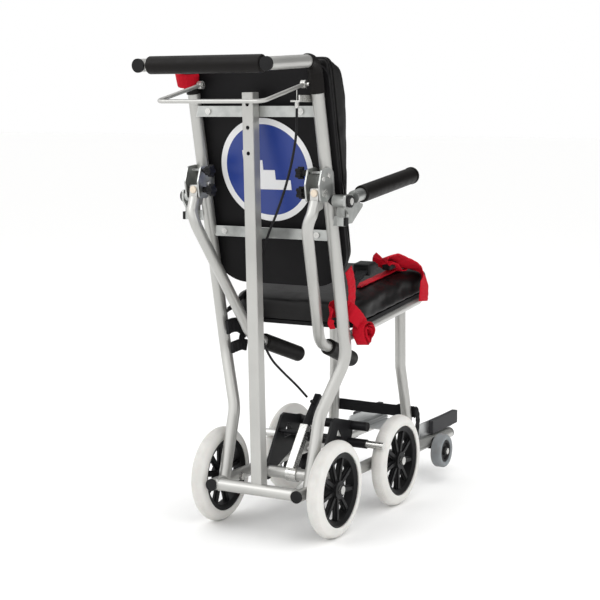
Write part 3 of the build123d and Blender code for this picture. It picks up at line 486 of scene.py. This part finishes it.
def swell(name, node, pressure, cap, keep_plane, peak=None):
    """Padded copy of a CAD solid: cloth under pressure, with each point's travel capped.

    Close to the board the cover keeps its shape.  peak is (direction, level, rise) for an edge
    that stands up.
    """
    source = NODES[node]
    mesh = source.data.copy()
    obj = bpy.data.objects.new(name, mesh)
    bpy.context.scene.collection.objects.link(obj)
    mesh.materials.clear()
    mesh.materials.append(LEATHER)
    low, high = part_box(node)
    middle = (low + high) / 2
    for v in mesh.vertices:
        away = v.co - middle
        v.co = middle + Vector([a * (1 - 2 * INSET / s) for a, s in zip(away, high - low)])
    bpy.context.view_layer.objects.active = obj
    remesh = obj.modifiers.new("remesh", "REMESH")
    remesh.mode = "VOXEL"
    remesh.voxel_size = VOXEL
    remesh.use_smooth_shade = True
    baked(obj)
    start = [v.co.copy() for v in obj.data.vertices]
    cloth = obj.modifiers.new("cloth", "CLOTH")
    cloth.settings.use_pressure = True
    cloth.settings.uniform_pressure_force = pressure
    cloth.settings.tension_stiffness = 30
    cloth.settings.compression_stiffness = 30
    cloth.settings.bending_stiffness = 9.0
    cloth.settings.effector_weights.gravity = 0
    for number in range(1, CLOTH_FRAMES + 1):
        bpy.context.scene.frame_set(number)
    baked(obj)
    bpy.context.scene.frame_set(1)
    even = obj.modifiers.new("even", "SMOOTH")
    even.factor = 0.5
    even.iterations = SMOOTHING
    baked(obj)
    origin, normal = keep_plane
    for v, before in zip(obj.data.vertices, start):
        move = v.co - before
        if move.length > cap:
            v.co = before + move * (cap / move.length)
        free = min(1.0, max(0.0, ((before - origin).dot(normal) - HELD_FROM) / HELD_OVER))
        v.co = before.lerp(v.co, free)
        height = (v.co - origin).dot(normal)
        if height < BOARD_GAP:
            v.co += normal * (BOARD_GAP - height)
        if peak:
            direction, level, rise = peak
            share = min(1.0, max(0.0, (v.co - origin).dot(direction) - level) / PEAK_OVER)
            fall = min(1.0, max(PEAK_LEAST, 1.0 - height / PEAK_DEPTH))
            v.co += direction * (rise * share * fall)
    divide = obj.modifiers.new("divide", "SUBSURF")
    divide.levels = 1
    divide.render_levels = 1
    baked(obj)
    obj.data.materials.clear()
    obj.data.materials.append(LEATHER)
    smooth(obj, 70)
    return obj


def back_line(z):
    """Y of the back tubes' middle at a height, in drawing mm."""
    return -97 + (956 - z) * 131 / 588


SEAT_A = math.radians(6.4)
SEAT_UP = Vector((0, -math.sin(SEAT_A), math.cos(SEAT_A)))
SEAT_BASE = V(0, 236, 419.5 + 176 * math.tan(SEAT_A))
BACK_A = math.atan2(131, 588)
BACK_UP = Vector((0, -math.sin(BACK_A), math.cos(BACK_A)))
BACK_OUT = Vector((0, math.cos(BACK_A), math.sin(BACK_A)))
BACK_BASE = V(0, back_line(660), 660)

seat = swell("seat_cushion_cover", "seat_cushion", 2.4, 0.009, (SEAT_BASE + SEAT_UP * 0.0083, SEAT_UP))
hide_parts("seat_cushion")
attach(seat, "frame")
back = swell("back_cushion_cover", "back_cushion", 1.6, 0.007, (BACK_BASE + BACK_OUT * 0.0231, BACK_OUT),
             peak=(BACK_UP, 0.262, 0.012))
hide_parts("back_cushion")
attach(back, "frame")


def rounded_outline(half_x, low, high, r_low, r_high, count=14):
    """Closed outline with rounded corners, as (x, along) in metres, anticlockwise from low left."""
    corners = [(-half_x, low, r_low, math.pi), (half_x, low, r_low, 1.5 * math.pi),
               (half_x, high, r_high, 0.0), (-half_x, high, r_high, 0.5 * math.pi)]
    out = []
    for x, y, r, start in corners:
        cx = x - math.copysign(r, x)
        cy = y + r if y == low else y - r
        for k in range(count + 1):
            a = start + 0.5 * math.pi * k / count
            out.append((cx + r * math.cos(a), cy + r * math.sin(a)))
    return out


PIPING_R = 0.0016
PIPING_LIFT = 0.0006
RAY_FROM, RAY_TO = 1.25, 0.55    # where the rays toward a cover start and aim, in shares of the outline


def seam(name, cover, base, along, out_dir, height, outline):
    """Piping that lies on a cover where a plane at a given height cuts its side."""
    tree = BVHTree.FromObject(cover, bpy.context.evaluated_depsgraph_get())
    centre = base + out_dir * height
    found = []
    for x, y in outline:
        spot = centre + Vector((x, 0, 0)) * RAY_FROM + along * y * RAY_FROM
        direction = (centre + Vector((x, 0, 0)) * RAY_TO + along * y * RAY_TO - spot).normalized()
        hit, normal, _, _ = tree.ray_cast(spot, direction)
        if hit is not None:
            found.append(hit + normal * PIPING_LIFT)
    return wire(name, found, PIPING_R, LEATHER, cyclic=True)


back_outline = rounded_outline(0.160, -0.225, 0.225, 0.080, 0.030)
BACK_MIDDLE = BACK_BASE + BACK_UP * 0.067
seam("back_piping_rear", back, BACK_MIDDLE, BACK_UP, BACK_OUT, 0.0290, back_outline)
seam("back_piping_front", back, BACK_MIDDLE, BACK_UP, BACK_OUT, 0.0400, back_outline)

# ---- badge: a plain round sign with a flight of steps ---------------------------------------------
BADGE_AT = BACK_BASE + BACK_UP * 0.083 + BACK_OUT * 0.0148
PLATE_THICK = 0.0004


def badge_spot(x, up, proud):
    """Point on the badge: x and up in metres from its centre, proud toward the rear."""
    return BADGE_AT + Vector((x, 0, 0)) + BACK_UP * up - BACK_OUT * proud


def badge_plate(name, loops, proud, material):
    """Thin plate on the badge from closed outlines (the first is outside, the second a hole)."""
    bm = bmesh.new()
    edges = []
    for loop in loops:
        ring = [bm.verts.new(badge_spot(x, y, proud)) for x, y in loop]
        edges += [bm.edges.new((a, b)) for a, b in zip(ring, ring[1:] + ring[:1])]
    bmesh.ops.triangle_fill(bm, edges=edges, use_beauty=True)
    sheet = bmesh.ops.extrude_face_region(bm, geom=bm.faces[:])
    for v in sheet["geom"]:
        if isinstance(v, bmesh.types.BMVert):
            v.co += BACK_OUT * PLATE_THICK
    bmesh.ops.recalc_face_normals(bm, faces=bm.faces)
    mesh = bpy.data.meshes.new(name)
    bm.to_mesh(mesh)
    bm.free()
    return piece(name, mesh, material)


def circle(r, count=96):
    turns = [2 * math.pi * k / count for k in range(count)]
    return [(r * math.cos(a), r * math.sin(a)) for a in turns]


field = badge_plate("badge_field", [circle(0.094)], 0.0012, BLUE)
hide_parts("back_badge")
badge_plate("badge_ring", [circle(0.106), circle(0.0935)], 0.0013, WHITE)
steps_outline = [(-0.052, -0.040), (0.052, -0.040), (0.052, 0.040), (0.034, 0.040), (0.034, 0.020),
                 (0.008, 0.020), (0.008, 0.000), (-0.018, 0.000), (-0.018, -0.020), (-0.052, -0.020)]
badge_plate("badge_steps", [[(-x, y) for x, y in steps_outline]], 0.0017, WHITE)

# ---- straps and belt --------------------------------------------------------------------------------
SEAT_SHAPE = BVHTree.FromObject(seat, bpy.context.evaluated_depsgraph_get())


def on_seat(x, y, above):
    """Drawing point a given height above the seat cover, found from well over the seat."""
    hit = SEAT_SHAPE.ray_cast(V(x, y, 700), Vector((0, 0, -1)))[0]
    return (x, y, 1000 * hit.z + above)


belt = strap("belt_lap_band",
             [on_seat(112, 340, 2.5), on_seat(112, 318, 5), (114, 300, 522), (117, 280, 530), (116, 258, 536),
              (121, 246, 547), (130, 268, 549), (137, 296, 539), (143, 324, 529), (150, 347, 518),
              (159, 361, 503), (163, 364, 480), (163.5, 362, 457), (163, 361, 446)],
             [X1, X1, (1, 0, .1), (1, 0, .2), (1, 0, .2), (1, -.1, .3), (1, -.15, .4), (1, -.25, .45),
              (.9, -.4, .45), (.6, -.75, .35), (.3, -.95, .15), (.05, -1, 0), (0, -1, 0), (0, -1, 0)],
             44, 3.0, RED)
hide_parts("seat_belt_red")
strap("belt_under_band",
      [on_seat(106, 146, 3), on_seat(106, 180, 3), on_seat(106, 230, 3), on_seat(107, 290, 4),
       on_seat(110, 335, 6), on_seat(115, 350, 11), on_seat(119, 335, 16)],
      [(1, 0, .15)] * 7, 30, 2.6, RED)
strap("belt_buckle_stub", [(150, 46, 506), (147, 68, 508), (141, 92, 514), (132, 117, 526), (127, 136, 534)],
      [(0, .1, 1), (.2, .1, 1), (.7, 0, .7), (1, 0, .2), X1], 26, 3.4, BLACK_WEB)
strap("belt_drop_band", [(150, 30, 546), (151, 38, 528), (151, 44, 506), (150, 45, 484), (149, 43, 470)],
      [(0, 1, .2)] * 5, 30, 2.4, RED)
strap("belt_pass_band",
      [(125, 4, 452), (118, 12, 458), (119, 24, 464), (130, 31, 467), (144, 32, 465), (156, 34, 458),
       (165, 42, 447), (169, 54, 434), (170, 64, 420)],
      [(0, .1, 1), (0, .1, 1), (0, .1, 1), (0, .1, 1), (0, .2, 1), (0, .4, 1), (.1, .6, .8), (.1, .8, .6),
       (.1, .9, .5)], 34, 2.4, RED)
strap("belt_pass_tail", [(125, 5, 446), (122, 8, 436), (124, 13, 426)], [X1, (1, .2, 0), X1], 13, 2.2,
      RED)
BUNCH_Y, BUNCH_Z = 60, 414      # middle of the rolled belt under the seat's rear corner
BUNCH_STEPS = 12
BUNCH_TURNS = ((21, 160, 0.6, 1.05), (15.5, 165, 1.9, 0.95), (10, 162, 0.2, 0.9))   # radius, X, start, turns
for number, (r, x, start, turns) in enumerate(BUNCH_TURNS):
    loop, loop_sides = [], []
    for k in range(BUNCH_STEPS + 1):
        a = start + 2 * math.pi * turns * k / BUNCH_STEPS
        across = x + 9 + 1.2 * number + 3 * math.sin(2 * a)
        loop.append((across, BUNCH_Y + r * math.cos(a), BUNCH_Z + 1.05 * r * math.sin(a)))
        loop_sides.append((1.0, 0.12 * math.sin(a), 0.1))
    strap(f"belt_bunch_{number + 1}", loop, loop_sides, 26 - 4 * number, 2.4, RED, steps=5)

WRAP_X, WRAP_Z = -147, 929      # loose turn of belt round the left back tube
WRAP_RX, WRAP_RY = 20.5, 23
WRAP_BEHIND = 7
WRAP_STEPS = 12                 # to a turn; the belt goes one step further, so its ends overlap
wrap_points, wrap_sides = [], []
for k in range(WRAP_STEPS + 2):
    a = 2 * math.pi * k / WRAP_STEPS + 2.2
    z = WRAP_Z + 4 * math.sin(a) - 1.2 * k
    y = back_line(z) - WRAP_BEHIND + WRAP_RY * math.sin(a)
    wrap_points.append((WRAP_X + WRAP_RX * math.cos(a), y, z))
    wrap_sides.append((0.12 * math.cos(a), -0.22, 1.0))
strap("belt_wrap_left", wrap_points, wrap_sides, 28, 2.4, RED, steps=5)


def soft_box(name, low, high, bevel, turn=0.0, puff=0.0):
    """Moulded black block with rounded edges, tilted about X and thicker by puff in its middle."""
    bm = bmesh.new()
    bmesh.ops.create_cube(bm, size=1.0)
    size = V(*high) - V(*low)
    centre = (V(*high) + V(*low)) / 2
    for v in bm.verts:
        v.co = Vector((v.co.x * size.x, v.co.y * size.y, v.co.z * size.z))
    bmesh.ops.bevel(bm, geom=bm.edges[:], offset=bevel / 1000, segments=4, profile=0.5, affect="EDGES")
    spin = Matrix.Rotation(turn, 3, "X")
    for v in bm.verts:
        v.co.z *= 1 + puff * (1 - min(1, abs(2 * v.co.y / size.y)) ** 2)
        v.co = centre + spin @ v.co
    mesh = bpy.data.meshes.new(name)
    bm.to_mesh(mesh)
    bm.free()
    obj = piece(name, mesh, PLASTIC)
    smooth(obj, 40)
    return obj


buckle = soft_box("belt_buckle_body", (106, 132, 524), (146, 168, 548), 5, 0.12, puff=0.1)
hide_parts("seat_belt_buckle")
soft_box("belt_buckle_tongue", (120, 166, 532), (138, 190, 542), 3, 0.15)
soft_box("belt_buckle_slider", (110, 262, 522), (130, 292, 538), 3, 0.1)

pouch = strap("belt_bundle_left",
              [(-121, 4, 412), (-120, 22, 415), (-119, 44, 413), (-118, 62, 405), (-118, 76, 394)],
              [UP, UP, (0, .1, 1), (0, .3, 1), (0, .6, .8)], 30, 7.0, BLACK_WEB)
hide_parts("belt_pouch_left")
strap("belt_bundle_left_top", [(-119, 2, 450), (-119, 22, 455), (-118, 48, 467), (-117, 72, 478)],
      [(.3, 0, 1)] * 4, 13, 3.0, BLACK_WEB)
strap("belt_bundle_left_neck", [(-118, 66, 404), (-119, 60, 388), (-119, 57, 372)],
      [(0, 1, 0)] * 3, 18, 5.0, BLACK_WEB)
strap("belt_bundle_left_end", [(-121, 22, 367), (-120, 40, 369), (-119, 58, 370), (-118, 74, 366)],
      [(0, -.1, 1), UP, UP, (0, .1, 1)], 24, 6.0, BLACK_WEB)

calf = strap("calf_strap_front",
             [(-108, 430, 178), (-106, 439, 178), (-96, 443.5, 178), (-50, 446, 177), (0, 447, 176),
              (50, 446, 176), (96, 443.5, 177), (107, 440, 178), (112, 432, 178)],
             [UP] * 9, 26, 2.6, BLACK_WEB)
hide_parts("calf_strap")
strap("calf_strap_tail",
      [(113, 432, 184), (113.5, 440, 178), (113, 447, 160), (112.5, 445, 140), (113, 440, 124)],
      [(0, 1, .3), (0, 1, .2), (0, 1, 0), (0, 1, -.1), (0, 1, -.1)], 20, 2.4, BLACK_WEB)
soft_box("calf_strap_buckle", (60, 445, 162), (86, 452, 191), 2.5)

# ---- small details ----------------------------------------------------------------------------------
PLUG = [(0, -3), (7.5, -3), (7.7, 0.5), (7.0, 2.4), (4.4, 3.2), (0, 3.6)]
SCREW_HEAD = [(0, -1), (4.6, -1), (4.8, 2.4), (4.2, 3.2), (0, 3.4)]
for name, side in SIDES.items():
    spun(f"carry_plug_{name}", V(side * 139, -92.2, 704), (0, -1, 0), PLUG, CREAM,
         f"carry_handle_{name}")
    screws = ((155.0, side, -66, 737), (121.5, -side, -64, 716), (155.0, side, -88, 731))
    for number, (x, away, y, z) in enumerate(screws):
        spun(f"bracket_screw_{name}_{number + 1}", V(side * x, y, z), (away, 0, 0), SCREW_HEAD, BRIGHT,
             segments=6)
wire("brake_wire_top", [V(117, -121, 879), V(117, -121, 886), V(117, -120.5, 893), V(117, -120, 901)],
     0.0009, BRIGHT)

WELD_R = 12.4
WELD_WAVES = 0.3         # unevenness of the bead
WELD_POINTS = 40
for side, letter in ((-1, "l"), (1, "r")):
    for y in (-80, 70):
        spot = V(side * 87.4, y, 100)
        beads = []
        for k in range(WELD_POINTS):
            a = 2 * math.pi * k / WELD_POINTS
            beads.append(spot + Vector((0, (WELD_R + WELD_WAVES * math.sin(11 * k)) * math.cos(a) / 1000,
                                        (WELD_R + WELD_WAVES * math.cos(7 * k)) * math.sin(a) / 1000)))
        wire(f"weld_rail_{y + 100}_{letter}", beads, 0.0016, SILVER, cyclic=True)

# ---- stage, light, camera ------------------------------------------------------------------------
floor_mesh = bpy.data.meshes.new("floor")
FLOOR = 40.0             # half the floor's side
corners = [(-FLOOR, -FLOOR, 0), (FLOOR, -FLOOR, 0), (FLOOR, FLOOR, 0), (-FLOOR, FLOOR, 0)]
floor_mesh.from_pydata(corners, [], [(0, 1, 2, 3)])
floor = bpy.data.objects.new("floor", floor_mesh)
bpy.context.scene.collection.objects.link(floor)
shade = Shader("floor_paper")
paper = shade.set(Base_Color=(0.99, 0.99, 0.985), Roughness=0.9, Specular_IOR_Level=0.05)
floor_mesh.materials.append(paper)

world = bpy.data.worlds.new("studio")
bpy.context.scene.world = world
world.use_nodes = True
tree = world.node_tree
join = tree.links.new
WHITE_LIGHT = (1, 1, 1, 1)
TOWARD_PANEL = (-0.42, -0.72, 0.55)
backdrop = tree.nodes["Background"]
backdrop.inputs[0].default_value = WHITE_LIGHT
backdrop.inputs[1].default_value = 1.0
# Reflections see a brighter side and a darker side, as between studio panels.
panels = tree.nodes.new("ShaderNodeBackground")
panels.inputs[0].default_value = WHITE_LIGHT
direction = tree.nodes.new("ShaderNodeTexCoord")
toward_panel = tree.nodes.new("ShaderNodeVectorMath")
toward_panel.operation = "DOT_PRODUCT"
toward_panel.inputs[1].default_value = TOWARD_PANEL
level = tree.nodes.new("ShaderNodeMapRange")
level.inputs["From Min"].default_value, level.inputs["From Max"].default_value = -0.35, 0.75
level.inputs["To Min"].default_value, level.inputs["To Max"].default_value = 0.12, 1.65
rays = tree.nodes.new("ShaderNodeLightPath")
choice = tree.nodes.new("ShaderNodeMixShader")
join(direction.outputs["Generated"], toward_panel.inputs[0])
join(toward_panel.outputs["Value"], level.inputs["Value"])
join(level.outputs[0], panels.inputs[1])
join(rays.outputs["Is Glossy Ray"], choice.inputs[0])
join(backdrop.outputs[0], choice.inputs[1])
join(panels.outputs[0], choice.inputs[2])
join(choice.outputs[0], tree.nodes["World Output"].inputs[0])
bpy.context.scene.view_settings.view_transform = "Standard"


def area_light(name, location, aim, size, power):
    """Soft rectangular lamp that looks at a point."""
    data = bpy.data.lights.new(name, "AREA")
    data.shape = "RECTANGLE"
    data.size, data.size_y = size
    data.energy = power
    lamp = bpy.data.objects.new(name, data)
    bpy.context.scene.collection.objects.link(lamp)
    lamp.location = location
    lamp.rotation_euler = (Vector(aim) - Vector(location)).to_track_quat("-Z", "Y").to_euler()


area_light("key", (-1.6, -2.6, 2.8), (0, 0, 0.4), (1.8, 1.8), 22)
area_light("fill", (2.8, -1.2, 1.8), (0, 0, 0.5), (1.4, 2.0), 12)
area_light("top", (0.2, 0.4, 3.2), (0, 0, 0.3), (2.2, 2.2), 18)

camera_data = bpy.data.cameras.new("camera")
camera_data.lens = 89.54
camera_data.sensor_width = 36
camera_data.dof.use_dof = False
camera = bpy.data.objects.new("camera", camera_data)
bpy.context.scene.collection.objects.link(camera)
AZIMUTH, ELEVATION = math.radians(29.43), math.radians(7.31)
behind = Vector((math.sin(AZIMUTH) * math.cos(ELEVATION), -math.cos(AZIMUTH) * math.cos(ELEVATION),
                 math.sin(ELEVATION)))
camera.location = V(1525.93, -2606.22, 865.56)
camera.rotation_euler = (-behind).to_track_quat("-Z", "Y").to_euler()
bpy.context.scene.camera = camera
